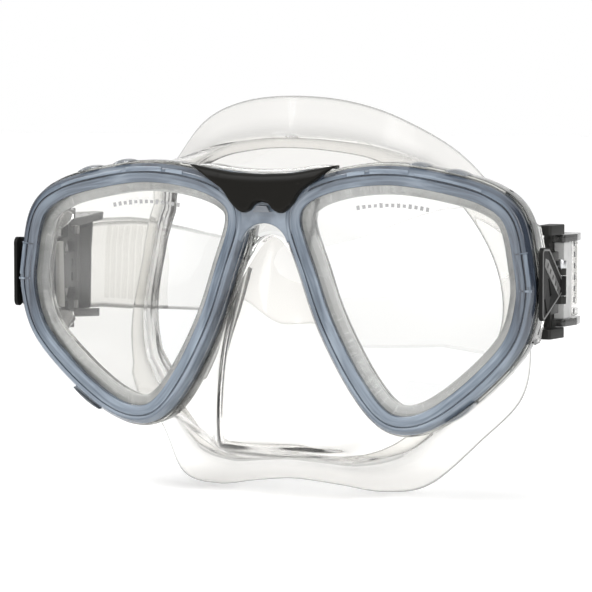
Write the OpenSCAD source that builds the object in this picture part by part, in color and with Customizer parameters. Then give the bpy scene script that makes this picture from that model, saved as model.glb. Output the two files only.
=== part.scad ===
// Two-lens diving mask: clear frame, tinted bezel, silicone skirt, swivel buckles and strap.
// X runs across the face, Y from front to back, Z up.  Lens depths are set first, and
// everything is then moved forward so that the origin lies in the plane of the face seal.

/* [Lens plane] */
// Angle by which each lens turns back towards the temple
lens_wrap = 2; // [0:0.5:4]
// Angle by which the bottom of the lenses leans back
lens_tilt = 1; // [0:0.5:2]
// Thickness of each glass lens
lens_t = 3; // [2.5:0.5:3]
// Distance from the bezel face back to the plane of the face seal
lens_to_seal = 46; // [40:1:52]

/* [Bezel and frame] */
// Width of the tinted bezel round each opening
bezel_w = 6; // [5:0.25:6]
// Depth of the clear frame behind the lenses
frame_depth = 4; // [3.5:0.5:5]
// How far the lens seal reaches into the opening
seal_lip = 3.2; // [2:0.2:4]
// Radius of the nose arch under the bridge
arch_r = 8; // [7:0.5:8.5]

/* [Skirt] */
// Thickness of the skirt wall
wall_t = 1.8; // [1.4:0.1:2.2]
// Thickness of the feathered face flange
flange_t = 1.3; // [1:0.1:1.5]

/* [Buckle] */
// Radius of the swivel pin
pivot_r = 2.5; // [2:0.1:3]
// Radius of the strap roller
roller_r = 2.4; // [2:0.1:2.6]
// Radius of the roller pin
roller_pin_r = 1; // [0.8:0.1:1.2]
// Radius of the release lever's pin
lever_pin_r = 0.8; // [0.6:0.1:0.9]
// Radial clearance of every running fit
running_gap = 0.05; // [0.02:0.01:0.1]

/* [Strap] */
// Thickness of the strap
strap_t = 1.9; // [1.6:0.1:2.2]
// Width of the strap at the buckles
strap_w = 23.5; // [20:0.5:24]
// Height of the wide pad at the back of the head
pad_h = 44; // [36:1:48]
// Number of ratchet ribs on each strap tail
rib_count = 9; // [5:1:10]

/* [Hidden] */
$fn = 48;

smooth_steps = 6;

// Depths measured back from the bezel's mid face
bezel_front = -1.2;
lens_front = 1.5;
lens_back = lens_front + lens_t;
frame_front = 6;
frame_back = frame_front + frame_depth;
bezel_lip = 1.4;
bezel_back = 5.5;
cover_front = -3.5;
frame_w = bezel_w + 0.6;
bezel_wall = 2.3;
seal_w = 2.2;
rim_w = 0.75;

// Swivel axis of both buckles, in side view
pivot_y = 21;
pivot_z = -4;
ear_x = [82.9, 85.1];
hub_x = [85.5, 87.2];
hub_r = 6.5;
pin_head_r = 4;

// Release lever, hinged on an upright pin near its back corner
lever_x = [88.4, 89.5];
lever_axis = [89.1, 24.6];
lever_corners = [[3.7, 8], [11, 7.6], [28.5, -5.6], [3.7, -15.4]];
knuckle_r = 1.6;
knuckle_z = [-7.8, -1.8];
lug_z = [[-10.4, -8.1], [-1.5, 0.5]];
coil_z = [0.8, 3];

// Roller and the strap that turns round it
roller_axis = [82.5, 48.5];
strap_lean = 25;
strap_gap = 0.3;
strap_mid_z = -4;
turn_r = roller_r + strap_gap + strap_t / 2;
cheek_t = 2.2;
cheek_gap = 0.4;
cheek_top = strap_mid_z + strap_w / 2 + cheek_gap;
cheek_bottom = strap_mid_z - strap_w / 2 - cheek_gap;
rail_gap = 0.3;
rail_t = 3;
rail_top = cheek_top + cheek_t + rail_gap + rail_t;
rail_bottom = cheek_bottom - cheek_t - rail_gap - rail_t;
rail_y = [24, 38];
cheek_y = 34.6;
plate_y = [27.7, 41.6];

// Edge of the right-hand opening, across and up, clockwise from the nose
opening_points = [
    [12.2, 14.5], [15.8, 21], [27.5, 25.1], [42.8, 26.3], [59.2, 23.9], [71.4, 20.3],
    [78.1, 14.5], [80.9, 1.5], [81.4, -8.5], [77.8, -20.5], [67.3, -32.3], [55, -41.8],
    [45.9, -45], [38.8, -42.6], [30.6, -31.8], [22.4, -16], [16.9, -0.5],
];

// Right half of the bridge cover, from its top middle round to its bottom middle
cover_points = [
    [0, 29.5], [10, 30], [18, 31.3], [24.5, 32.3], [22, 30.5], [17, 27], [13, 24],
    [10.5, 20.5], [8, 18], [6, 17.3], [4, 18.2], [2.5, 20], [0, 20.8],
];

// Skirt sections, from the middle of the forehead round the temple to the upper lip.
// Each row is the wall's front edge, three points down the wall, and how far along the
// flange the wall meets it.  A row of no points lets the wall run straight.
skirt_front = [
    [0, 8.5, 27], [20, 8.5, 29], [42, 9.5, 30.5], [64, 10.5, 26.5], [80, 11.5, 14],
    [83, 11.8, -3], [80, 11.7, -20], [66, 11.5, -36], [45, 10.5, -48], [30, 9.5, -39],
    [19, 8.5, -22], [12, 8, -4], [0, 7, 10],
];
skirt_outer_edge = [
    [0, 24, 53.5], [18, 27, 51.8], [34, 33.5, 46], [50, 47, 34], [64, 52, 15],
    [68, 53, -4], [70.5, 53, -25], [68, 52, -43], [56, 46.5, -57], [43, 34, -70],
    [29, 30, -72.7], [14, 26, -70.5], [0, 24, -69],
];
skirt_inner_edge = [
    [0, 19.5, 37], [13, 22, 36], [27, 26, 33], [40, 31, 26], [50, 38, 15.5],
    [57, 43.5, 0], [59, 44.5, -16], [55, 40, -30], [46, 33, -43], [34, 28, -56],
    [20, 24, -61], [9, 21, -60.5], [0, 20, -60],
];
skirt_join = [0.25, 0.28, 0.35, 0.5, 0.6, 0.6, 0.55, 0.5, 0.4, 0.3, 0.25, 0.25, 0.25];
skirt_wall = [
    [], [], [], [], [], [], [], [], [],
    [[29, 12, -47], [29, 17, -54], [30, 24, -59]],
    [[18.5, 4, -38], [19, 5, -55], [20, 14, -60]],
    [[12.5, -3, -28], [12.8, -4.5, -52], [12, 3, -58.5]],
    [[0, -4, -22], [0, -7, -50], [0, 0, -58.5]],
];
skirt_steps = 3;

// Strap route behind the right-hand roller, ending at the back of the head
strap_route = [[74.9, 56.2], [70.6, 65.4], [61, 81], [46, 94], [26, 103], [0, 106]];
tail_route = [[81.9, 58], [77.8, 66], [72.8, 74.5]];

// --- curves ---------------------------------------------------------------------------

function blend4(a, b, c, d, t) =
    0.5 * (2 * b + (c - a) * t + (2 * a - 5 * b + 4 * c - d) * t * t
        + (3 * b - a - 3 * c + d) * t * t * t);

function smooth_loop(points, steps) =
    let (n = len(points))
    [for (i = [0 : n - 1]) for (k = [0 : steps - 1])
        blend4(points[(i + n - 1) % n], points[i], points[(i + 1) % n], points[(i + 2) % n],
            k / steps)];

function smooth_line(points, steps) =
    let (n = len(points))
    [for (i = [0 : n - 2]) for (k = [0 : steps - 1])
        blend4(points[max(i - 1, 0)], points[i], points[i + 1], points[min(i + 2, n - 1)],
            k / steps),
     points[n - 1]];

// A closed clockwise outline moved outwards by a distance
function grown(outline, distance) =
    let (n = len(outline))
    [for (i = [0 : n - 1])
        let (along = outline[(i + 1) % n] - outline[(i + n - 1) % n])
        outline[i] + distance * [-along[1], along[0]] / norm(along)];

// The outline of a band of a given thickness along an open line
function band(points, thickness) =
    let (
        n = len(points),
        side = [for (i = [0 : n - 1])
            let (along = points[min(i + 1, n - 1)] - points[max(i - 1, 0)])
            [-along[1], along[0]] / norm(along) * thickness / 2]
    )
    concat([for (i = [0 : n - 1]) points[i] + side[i]],
        [for (i = [n - 1 : -1 : 0]) points[i] - side[i]]);

// A polygon whose corners are arcs of radius r
function rounded(points, r, steps = 6) =
    let (n = len(points))
    [for (i = [0 : n - 1])
        let (
            p = points[i],
            u = (points[(i + n - 1) % n] - p) / norm(points[(i + n - 1) % n] - p),
            v = (points[(i + 1) % n] - p) / norm(points[(i + 1) % n] - p),
            half = acos(u * v) / 2,
            mid = (u + v) / norm(u + v),
            centre = p + mid * r / sin(half),
            from = p + u * r / tan(half) - centre,
            to = p + v * r / tan(half) - centre
        )
        for (k = [0 : steps])
            let (way = from * (1 - k / steps) + to * k / steps)
            centre + way / norm(way) * r];

opening = smooth_loop(opening_points, smooth_steps);

// --- placing --------------------------------------------------------------------------

// Everything is drawn from the lens plane and ends up in the face seal's frame
module in_frame() translate([0, -lens_to_seal, 0]) children();

module flip(side) mirror([side < 0 ? 1 : 0, 0, 0]) children();

module lens_plane() rotate([lens_tilt, 0, lens_wrap]) children();

module both_sides() for (side = [1, -1]) flip(side) children();

// A flat outline drawn across and up, given a depth from front to back
module slab(front, back)
    translate([0, back, 0]) rotate([90, 0, 0]) linear_extrude(back - front) children();

// A flat outline drawn back and up, given a thickness across
module side_plate(x)
    translate([x[0], 0, 0]) rotate([90, 0, 90]) linear_extrude(x[1] - x[0]) children();

// A flat outline drawn in plan, given a height
module plan_plate(z) translate([0, 0, z[0]]) linear_extrude(z[1] - z[0]) children();

module ring(outer, inner) difference() {
    polygon(grown(opening, outer));
    polygon(grown(opening, inner));
}

module x_cylinder(r, x) translate([x[0], pivot_y, pivot_z]) rotate([0, 90, 0])
    cylinder(r = r, h = x[1] - x[0]);

// --- frame, bezel and lenses ----------------------------------------------------------

module bridge_shape(arch_z) difference() {
    polygon([[-18, 31.2], [0, 29.3], [18, 31.2], [12.5, arch_z], [-12.5, arch_z]]);
    translate([0, arch_z]) circle(arch_r);
}

module bezel_bridge() rotate([lens_tilt, 0, 0]) slab(bezel_front, bezel_back) bridge_shape(6);

// Ear behind the frame's outer side, which stays clear of the swinging buckle's rails
module ear_shape() {
    polygon([[10, 15], [16.3, 13.5], [17.5, 11], [24, 1.6], [24, -9.6], [17.5, -19],
        [16.3, -21.5], [10, -22]]);
    translate([pivot_y, pivot_z]) circle(6.2);
}

// Webs from the frame's side back to the buckle, above and below the ear: the rim runs
// back a little, and a wall behind it turns inwards past the buckle's rails
wing_top = [[9, 9], [9, 24.5], [12, 23.5], [15, 21.3], [22, 16.8], [30, 13.4], [30, 11.2],
    [22, 9.5], [15, 9]];
wing_low = [[9, -15], [15, -15.5], [22, -16], [30, -16.6], [31, -18.8], [24, -22.5],
    [17, -27], [12, -31.5], [9, -33]];
wing_line = [[85.5, 11], [83, 13.5], [79.9, 16.3], [79.2, 19], [78.8, 31]];

module wings() intersection() {
    side_plate([60, 90]) {
        polygon(wing_top);
        polygon(wing_low);
    }
    lens_plane() slab(frame_back - 1, 40) polygon(grown(opening, frame_w));
    union() {
        lens_plane() slab(frame_back - 1, 13) ring(frame_w, frame_w - 1.6);
        plan_plate([-34, 25]) polygon(band(wing_line, 1.5));
    }
}

module nose_limb() intersection() {
    ring(frame_w, 3.8);
    polygon([[4, 12], [24, 12], [24, -6], [40, -40], [4, -40]]);
}

module main_frame() color([0.9, 0.92, 0.93, 0.5]) in_frame() {
    difference() {
        union() {
            both_sides() lens_plane() {
                slab(frame_front, frame_back) ring(frame_w, -seal_lip);
                slab(3.5, frame_front) ring(frame_w + 0.3, frame_w + 0.3 - rim_w);
                slab(frame_front, frame_back) ring(frame_w + 0.3, frame_w - 1);
                slab(frame_back, frame_back + 4) nose_limb();
            }
            rotate([lens_tilt, 0, 0]) slab(frame_front, frame_back + 1.5) bridge_shape(2);
            both_sides() {
                side_plate(ear_x) ear_shape();
                wings();
            }
        }
        bezel_bridge();
        both_sides() lens_plane() {
            slab(bezel_front, bezel_back) polygon(grown(opening, bezel_w));
            slab(lens_front, frame_front) polygon(grown(opening, seal_w));
        }
        both_sides() x_cylinder(pivot_r, [ear_x[0] - 1, ear_x[1] + 1]);
    }
}

module lens_bezel() color([0.5, 0.56, 0.65]) in_frame() {
    both_sides() lens_plane() {
        slab(bezel_front, bezel_lip) ring(bezel_w, 0);
        slab(bezel_lip, bezel_back) ring(bezel_w, bezel_wall);
    }
    difference() {
        bezel_bridge();
        both_sides() lens_plane() {
            slab(bezel_lip, bezel_back + 2) polygon(grown(opening, bezel_wall));
            slab(bezel_front - 2, bezel_lip + 1) polygon(opening);
            slab(bezel_back, bezel_back + 2) polygon(grown(opening, bezel_w));
        }
    }
}

module bridge_cover() color([0.16, 0.16, 0.15]) in_frame() rotate([lens_tilt, 0, 0]) {
    half = smooth_line(cover_points, 3);
    slab(cover_front, bezel_front)
        polygon(concat(half, [for (i = [len(half) - 2 : -1 : 1]) [-half[i][0], half[i][1]]]));
}

module bridge_badge() color([0.55, 0.57, 0.6]) in_frame() rotate([lens_tilt, 0, 0])
    slab(-2.6, bezel_front) polygon([[-2.9, 17.6], [2.9, 17.6], [1.8, 19.6], [-1.8, 19.6]]);

module lens() lens_plane() slab(lens_front, lens_back) polygon(grown(opening, 2));

module lens_seal() lens_plane() slab(lens_back, frame_front) ring(seal_w, -seal_lip);

module lens_left() color([0.9, 0.95, 0.95, 0.3]) in_frame() flip(-1) lens();
module lens_right() color([0.9, 0.95, 0.95, 0.3]) in_frame() lens();
module lens_seal_left() color([0.93, 0.93, 0.92]) in_frame() flip(-1) lens_seal();
module lens_seal_right() color([0.93, 0.93, 0.92]) in_frame() lens_seal();

// A small clip over the edge of bezel and frame, between two places across
module clip(from, to, low, high) slab(0, 8) intersection() {
    ring(frame_w + 1.6, frame_w + 0.3);
    translate([from, low]) square([to - from, high - low]);
}

module bezel_clips_upper() color([0.8, 0.83, 0.86]) in_frame()
    both_sides() lens_plane() for (at = [47.5, 60]) clip(at, at + 5, 20, 40);

module bezel_clips_lower() color([0.8, 0.83, 0.86]) in_frame()
    both_sides() lens_plane() clip(54, 63, -60, -30);

// --- skirt ----------------------------------------------------------------------------

function mix(a, b, t) = a * (1 - t) + b * t;

function join_point(i) = mix(skirt_inner_edge[i], skirt_outer_edge[i], skirt_join[i]);

// Front edge, three wall points, join, outer edge and inner edge of one section
function section(i) =
    let (front = skirt_front[i], join = join_point(i))
    concat([front],
        len(skirt_wall[i]) ? skirt_wall[i] : [for (t = [0.25, 0.5, 0.75]) mix(front, join, t)],
        [join, skirt_outer_edge[i], skirt_inner_edge[i]]);

half_sections = [for (i = [0 : len(skirt_front) - 1]) section(i)];
all_sections = concat(half_sections,
    [for (i = [len(half_sections) - 2 : -1 : 1])
        [for (p = half_sections[i]) [-p[0], p[1], p[2]]]]);
// The sections turned into seven smooth loops that run round the whole skirt
loops = [for (j = [0 : 6]) smooth_loop([for (s = all_sections) s[j]], skirt_steps)];
loop_n = len(loops[0]);

// Direction out of the wall at station i and wall point j
function wall_normal(i, j) =
    let (
        round = loops[j][(i + 1) % loop_n] - loops[j][(i + loop_n - 1) % loop_n],
        down = loops[min(j + 1, 4)][i] - loops[max(j - 1, 0)][i],
        n = cross(round, down)
    )
    n / norm(n);

// Direction of the flange's face, towards the front
function flange_normal(i) =
    let (
        out = loops[5][i] - loops[6][i],
        round = loops[4][(i + 1) % loop_n] - loops[4][(i + loop_n - 1) % loop_n],
        n = cross(out, round)
    )
    n / norm(n) * (n[1] > 0 ? -1 : 1);

function skirt_ring(i) = concat(
    [for (j = [0 : 4]) loops[j][i]],
    [loops[5][i], loops[5][i] - flange_normal(i) * flange_t,
     loops[6][i] - flange_normal(i) * flange_t, loops[6][i]],
    [for (j = [4 : -1 : 0]) loops[j][i] - wall_normal(i, j) * wall_t]);

module skirt() color([0.96, 0.96, 0.95, 0.6]) in_frame() {
    rings = [for (i = [0 : loop_n - 1]) skirt_ring(i)];
    ring_n = len(rings[0]);
    polyhedron(
        points = [for (r = rings) for (p = r) p],
        faces = [for (i = [0 : loop_n - 1]) for (j = [0 : ring_n - 1])
            let (
                next = (i + 1) % loop_n,
                a = i * ring_n + j,
                b = i * ring_n + (j + 1) % ring_n,
                c = next * ring_n + (j + 1) % ring_n,
                d = next * ring_n + j
            )
            for (face = [[a, b, c], [a, c, d]]) face]);
}

// --- buckles --------------------------------------------------------------------------

module pivot_pin(side) color([0.75, 0.76, 0.78]) in_frame() flip(side) {
    x_cylinder(pivot_r, [ear_x[0], hub_x[1] + 0.1]);
    x_cylinder(pin_head_r, [ear_x[0] - 0.8, ear_x[0]]);
}

module body_plan() polygon([
    [85.5, 20], [87.2, 20], [87.2, 28], [83.2, 33], [83.2, plate_y[1]], [81, plate_y[1]],
    [81, plate_y[0]], [85.5, plate_y[0]],
]);

module rail(z) plan_plate(z)
    polygon(rounded([[81, rail_y[0]], [85.8, rail_y[0]], [87.2, rail_y[1] - 4],
        [85.8, rail_y[1]], [81, rail_y[1]]], 1));

module lever_lug(z) plan_plate(z) {
    translate(lever_axis) circle(knuckle_r);
    translate([hub_x[0], lever_axis[1] - knuckle_r])
        square([lever_axis[0] - hub_x[0], 2 * knuckle_r]);
}

module plate_windows() {
    for (up = [1, -1]) translate([34.5, -4.3 + up * 4.6]) intersection() {
        circle(4.4);
        translate([-5, up > 0 ? 0.6 : -5.6]) square([10, 5]);
    }
    for (z = [-6.3, -2.3]) translate([36.3, z]) square([1.4, 2.4], center = true);
}

module buckle_body(side) color([0.33, 0.33, 0.33]) in_frame() flip(side) difference() {
    union() {
        x_cylinder(hub_r, hub_x);
        plan_plate([-13.5, 5.5]) body_plan();
        side_plate([81, 83.2])
            polygon(rounded([[32.5, rail_top], [rail_y[1], rail_top], [rail_y[1], rail_bottom],
                [32.5, rail_bottom]], 0.8));
        rail([rail_top - rail_t, rail_top]);
        rail([rail_bottom, rail_bottom + rail_t]);
        for (z = lug_z) lever_lug(z);
    }
    x_cylinder(pivot_r + running_gap, [hub_x[0] - 1, hub_x[1] + 1]);
    side_plate([80, 84]) plate_windows();
    for (cheek = [cheek_top - 0.2, cheek_bottom - cheek_t - 0.2])
        translate([79, cheek_y - 0.3, cheek]) cube([9, 9, cheek_t + 0.4]);
    translate([lever_axis[0], lever_axis[1], lug_z[0][0] - 1])
        cylinder(r = lever_pin_r, h = lug_z[1][1] - lug_z[0][0] + 2);
}

module cheek_plan() polygon(rounded([
    [80.4, cheek_y], [87, cheek_y], [88.4, 44], [87, 52.6], [82, 54], [78.4, 52.2], [79.2, 44],
], 1.2));

module buckle_guard(side) color([0.88, 0.9, 0.92, 0.5]) in_frame() flip(side) difference() {
    union() {
        plan_plate([cheek_top, cheek_top + cheek_t]) cheek_plan();
        plan_plate([cheek_bottom - cheek_t, cheek_bottom]) cheek_plan();
        plan_plate([cheek_bottom, cheek_top])
            polygon([[83.5, cheek_y + 1], [86.6, cheek_y + 1], [86.8, 43.3], [81.6, 43.3],
                [81.6, plate_y[1] + 0.1], [83.5, plate_y[1] + 0.1]]);
    }
    translate([roller_axis[0], roller_axis[1], cheek_bottom - cheek_t - 1])
        cylinder(r = roller_pin_r, h = strap_w + 2 * cheek_t + 4);
}

module release_lever(side) color([0.36, 0.36, 0.36]) in_frame() flip(side) difference() {
    union() {
        side_plate(lever_x) polygon(rounded(lever_corners, 2));
        plan_plate(knuckle_z) translate(lever_axis) circle(knuckle_r);
    }
    for (step = [0, 1]) side_plate([lever_x[1] - 0.4, lever_x[1] + 1])
        translate([6 + 4 * step, -8 + 6 * step])
            polygon([[0, 0], [1, 0.4], [3.4, -4.8], [1.6, -5.6]]);
    translate([lever_axis[0], lever_axis[1], knuckle_z[0] - 1])
        cylinder(r = lever_pin_r + running_gap, h = knuckle_z[1] - knuckle_z[0] + 2);
}

module lever_pin(side) color([0.75, 0.76, 0.78]) in_frame() flip(side)
    translate([lever_axis[0], lever_axis[1], lug_z[0][0]])
        cylinder(r = lever_pin_r, h = coil_z[1] + 0.4 - lug_z[0][0]);

module lever_spring(side) color([0.7, 0.71, 0.72]) in_frame() flip(side) difference() {
    union() {
        plan_plate(coil_z) translate(lever_axis) circle(lever_pin_r + 0.85);
        translate([lever_axis[0] - 1.1, lever_axis[1], coil_z[0] + 0.35]) rotate([90, 0, 0])
            cylinder(r = 0.3, h = 5);
    }
    translate([lever_axis[0], lever_axis[1], coil_z[0] - 1])
        cylinder(r = lever_pin_r + 0.1, h = 5);
}

module strap_roller(side) color([0.3, 0.3, 0.3]) in_frame() flip(side)
    translate([roller_axis[0], roller_axis[1], cheek_bottom + 0.2]) difference() {
        cylinder(r = roller_r, h = cheek_top - cheek_bottom - 0.4);
        translate([0, 0, -1])
            cylinder(r = roller_pin_r + running_gap, h = cheek_top - cheek_bottom + 2);
    }

module roller_pin(side) color([0.75, 0.76, 0.78]) in_frame() flip(side)
    translate([roller_axis[0], roller_axis[1], cheek_bottom - cheek_t])
        cylinder(r = roller_pin_r, h = cheek_top - cheek_bottom + 2 * cheek_t);

module pivot_pin_left() pivot_pin(-1);
module pivot_pin_right() pivot_pin(1);
module buckle_body_left() buckle_body(-1);
module buckle_body_right() buckle_body(1);
module buckle_guard_left() buckle_guard(-1);
module buckle_guard_right() buckle_guard(1);
module release_lever_left() release_lever(-1);
module release_lever_right() release_lever(1);
module lever_pin_left() lever_pin(-1);
module lever_pin_right() lever_pin(1);
module lever_spring_left() lever_spring(-1);
module lever_spring_right() lever_spring(1);
module strap_roller_left() strap_roller(-1);
module strap_roller_right() strap_roller(1);
module roller_pin_left() roller_pin(-1);
module roller_pin_right() roller_pin(1);

// --- strap ----------------------------------------------------------------------------

// Turn of the strap round the roller, from its outer run to its inner run
strap_turn = [for (a = [-strap_lean : -20 : -strap_lean - 180])
    roller_axis + turn_r * [cos(a + 2 * strap_lean), sin(a + 2 * strap_lean)]];
tail_line = smooth_line([tail_route[2], tail_route[1], tail_route[0]], 4);
half_strap = concat(tail_line, strap_turn, smooth_line(strap_route, 5));
strap_line = concat(half_strap,
    [for (i = [len(half_strap) - 2 : -1 : 0]) [-half_strap[i][0], half_strap[i][1]]]);

// Front view of the strap: a level band that swells into a split pad behind the head
module strap_front_view() translate([0, strap_mid_z]) difference() {
    union() {
        square([190, strap_w], center = true);
        polygon(rounded([[-52, -strap_w / 2], [-34, -pad_h / 2], [34, -pad_h / 2],
            [52, -strap_w / 2], [52, strap_w / 2], [34, pad_h / 2], [-34, pad_h / 2],
            [-52, strap_w / 2]], 9));
    }
    polygon(rounded([[-38, 0], [-24, 8], [24, 8], [38, 0], [24, -8], [-24, -8]], 3));
}

// Ratchet ribs across the outside of the strap tail
module tail_ribs() for (k = [0 : rib_count - 1])
    let (i = 1 + k * 0.75, a = tail_line[floor(i)], b = tail_line[floor(i) + 1])
    translate(mix(a, b, i - floor(i))) rotate(atan2(b[1] - a[1], b[0] - a[0]))
        translate([-0.5, -strap_t / 2 - 0.5]) square([1, 0.8]);

module strap() color([0.95, 0.95, 0.94, 0.7]) in_frame() {
    intersection() {
        plan_plate([strap_mid_z - pad_h / 2, strap_mid_z + pad_h / 2])
            polygon(band(strap_line, strap_t));
        slab(0, 120) strap_front_view();
    }
    both_sides() plan_plate([strap_mid_z - strap_w / 2 + 1.5, strap_mid_z + strap_w / 2 - 1.5])
        tail_ribs();
}

main_frame();
lens_bezel();
bridge_cover();
bridge_badge();
lens_left();
lens_right();
lens_seal_left();
lens_seal_right();
skirt();
bezel_clips_upper();
bezel_clips_lower();
strap();
pivot_pin_left();
pivot_pin_right();
buckle_body_left();
buckle_body_right();
buckle_guard_left();
buckle_guard_right();
release_lever_left();
release_lever_right();
lever_pin_left();
lever_pin_right();
lever_spring_left();
lever_spring_right();
strap_roller_left();
strap_roller_right();
roller_pin_left();
roller_pin_right();
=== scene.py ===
"""A two-lens diving mask with a clear frame, a tinted bezel, a silicone skirt and a strap."""
import math

import bmesh
import bpy
import numpy as np
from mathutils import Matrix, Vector


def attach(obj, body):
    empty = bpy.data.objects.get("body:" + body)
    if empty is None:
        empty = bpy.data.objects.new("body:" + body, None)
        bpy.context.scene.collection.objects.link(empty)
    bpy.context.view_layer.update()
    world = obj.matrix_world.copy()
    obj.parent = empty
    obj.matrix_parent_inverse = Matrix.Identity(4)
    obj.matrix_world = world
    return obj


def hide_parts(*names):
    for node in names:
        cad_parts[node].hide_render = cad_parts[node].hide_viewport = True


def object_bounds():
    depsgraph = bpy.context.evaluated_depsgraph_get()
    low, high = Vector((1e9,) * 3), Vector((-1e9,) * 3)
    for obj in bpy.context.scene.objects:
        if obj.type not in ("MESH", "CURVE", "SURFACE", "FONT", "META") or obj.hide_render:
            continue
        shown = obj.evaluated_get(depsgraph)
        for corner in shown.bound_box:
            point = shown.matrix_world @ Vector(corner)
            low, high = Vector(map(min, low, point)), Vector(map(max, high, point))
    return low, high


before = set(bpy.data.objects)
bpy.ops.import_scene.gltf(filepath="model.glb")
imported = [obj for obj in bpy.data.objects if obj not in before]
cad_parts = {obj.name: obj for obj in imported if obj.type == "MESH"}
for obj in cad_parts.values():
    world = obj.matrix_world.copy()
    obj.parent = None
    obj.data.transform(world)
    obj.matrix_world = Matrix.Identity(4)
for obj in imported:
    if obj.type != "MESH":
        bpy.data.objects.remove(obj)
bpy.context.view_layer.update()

MM = 0.001

# --- sizes, in millimetres behind the bezel's mid face ----------------------------------

LENS_TO_SEAL = 46.0
LENS_WRAP = math.radians(2)
LENS_TILT = math.radians(1)
BEZEL_W = 6.0
SEAL_LIP = 3.2
SEAL_W = 2.2
FRAME_W = BEZEL_W + 0.6
ARCH_R = 8.0
WALL_T = 1.7
FLANGE_T = 1.3
EDGE_T = 0.5
PIVOT = np.array([21.0, -4.0])
PIVOT_R = 2.5
EAR_X = (82.9, 85.1)
LEVER_FACE = 89.5
ROLLER_AXIS = np.array([82.5, 48.5])
TURN_R = 3.65
STRAP_LEAN = math.radians(25)
STRAP_T = 1.9
STRAP_HALF = 11.75
STRAP_MID_Z = -4.0
PAD_HALF = 22.0
# Heights from the strap's middle where the guard's painted cheek shade begins and is full.
GUARD_CHEEK_SHADE = (11.6, 12.2)

# --- camera, floor and light ------------------------------------------------------------

VIEW_AZIMUTH = math.radians(22)
VIEW_ELEVATION = math.radians(4)
VIEW_DISTANCE = 966.9
VIEW_SHIFT = (9.87, -8.71)
VIEW_LENS = 188.2
FLOOR_GAP = 0.0006
FLOOR_GLOW = 0.24


def view_axes(azimuth, elevation):
    """Right, back and up directions of a camera that looks at the mask."""
    right = Vector((math.cos(azimuth), math.sin(azimuth), 0))
    back = Vector((math.sin(azimuth) * math.cos(elevation),
                   -math.cos(azimuth) * math.cos(elevation), math.sin(elevation)))
    return right, back, back.cross(right)


def make_camera():
    right, back, up = view_axes(VIEW_AZIMUTH, VIEW_ELEVATION)
    place = back * VIEW_DISTANCE + right * VIEW_SHIFT[0] + up * VIEW_SHIFT[1]
    place.y -= LENS_TO_SEAL
    data = bpy.data.cameras.new("camera")
    data.lens = VIEW_LENS
    data.sensor_width = 36
    data.clip_start, data.clip_end = 0.01, 50
    camera = bpy.data.objects.new("camera", data)
    camera.location = place * MM
    camera.rotation_mode = "QUATERNION"
    camera.rotation_quaternion = (-back).to_track_quat("-Z", "Y")
    bpy.context.scene.collection.objects.link(camera)
    bpy.context.scene.camera = camera


make_camera()


# --- curves -----------------------------------------------------------------------------

def blend4(a, b, c, d, t):
    return 0.5 * (2 * b + (c - a) * t + (2 * a - 5 * b + 4 * c - d) * t * t
                  + (3 * b - a - 3 * c + d) * t ** 3)


def smooth_loop(points, steps):
    p = np.array(points, float)
    n = len(p)
    return np.array([blend4(p[i - 1], p[i], p[(i + 1) % n], p[(i + 2) % n], k / steps)
                     for i in range(n) for k in range(steps)])


def smooth_line(points, steps):
    p = np.array(points, float)
    n = len(p)
    made = [blend4(p[max(i - 1, 0)], p[i], p[i + 1], p[min(i + 2, n - 1)], k / steps)
            for i in range(n - 1) for k in range(steps)]
    return np.array(made + [p[-1]])


def side_of(outline, closed=True):
    """Unit vectors to the left of the way along a flat line."""
    if closed:
        along = np.roll(outline, -1, 0) - np.roll(outline, 1, 0)
    else:
        along = np.gradient(outline, axis=0)
    along /= np.linalg.norm(along, axis=1)[:, None]
    return np.stack([-along[:, 1], along[:, 0]], 1)


def rounded(points, radii, steps=4):
    """A closed flat outline whose corners are arcs."""
    p = np.array(points, float)
    n = len(p)
    radii = [radii] * n if np.isscalar(radii) else radii
    made = []
    for i in range(n):
        u, v = p[i - 1] - p[i], p[(i + 1) % n] - p[i]
        u, v = u / np.linalg.norm(u), v / np.linalg.norm(v)
        half = math.acos(max(-1, min(1, u @ v))) / 2
        mid = (u + v) / np.linalg.norm(u + v)
        if radii[i] == 0:
            made.append(p[i])
            continue
        centre = p[i] + mid * radii[i] / math.sin(half)
        start = p[i] + u * radii[i] / math.tan(half) - centre
        end = p[i] + v * radii[i] / math.tan(half) - centre
        for k in range(steps + 1):
            way = start * (1 - k / steps) + end * k / steps
            made.append(centre + way / np.linalg.norm(way) * radii[i])
    return np.array(made)


def resampled(line, count, closed=False):
    """The same line with evenly spaced points."""
    pts = np.vstack([line, line[:1]]) if closed else line
    run = np.r_[0, np.cumsum(np.linalg.norm(np.diff(pts, axis=0), axis=1))]
    at = np.linspace(0, run[-1], count + 1)[:-1] if closed else np.linspace(0, run[-1], count)
    return np.stack([np.interp(at, run, pts[:, k]) for k in range(pts.shape[1])], 1)


# --- placing and meshes -----------------------------------------------------------------

def on_lens_plane(points, side=1):
    """Points given across, back and up in a lens's own plane, in the mask's millimetres."""
    x, y, z = np.asarray(points, float).T
    y, z = (y * math.cos(LENS_TILT) - z * math.sin(LENS_TILT),
            y * math.sin(LENS_TILT) + z * math.cos(LENS_TILT))
    x, y = (x * math.cos(LENS_WRAP) - y * math.sin(LENS_WRAP),
            x * math.sin(LENS_WRAP) + y * math.cos(LENS_WRAP))
    return np.stack([x * side, y, z], 1)


def on_mid_plane(points):
    x, y, z = np.asarray(points, float).T
    return np.stack([x, y * math.cos(LENS_TILT) - z * math.sin(LENS_TILT),
                     y * math.sin(LENS_TILT) + z * math.cos(LENS_TILT)], 1)


def in_frame(points):
    """The mask's millimetres to the row frame's metres."""
    return (np.asarray(points, float) - [0, LENS_TO_SEAL, 0]) * MM


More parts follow.
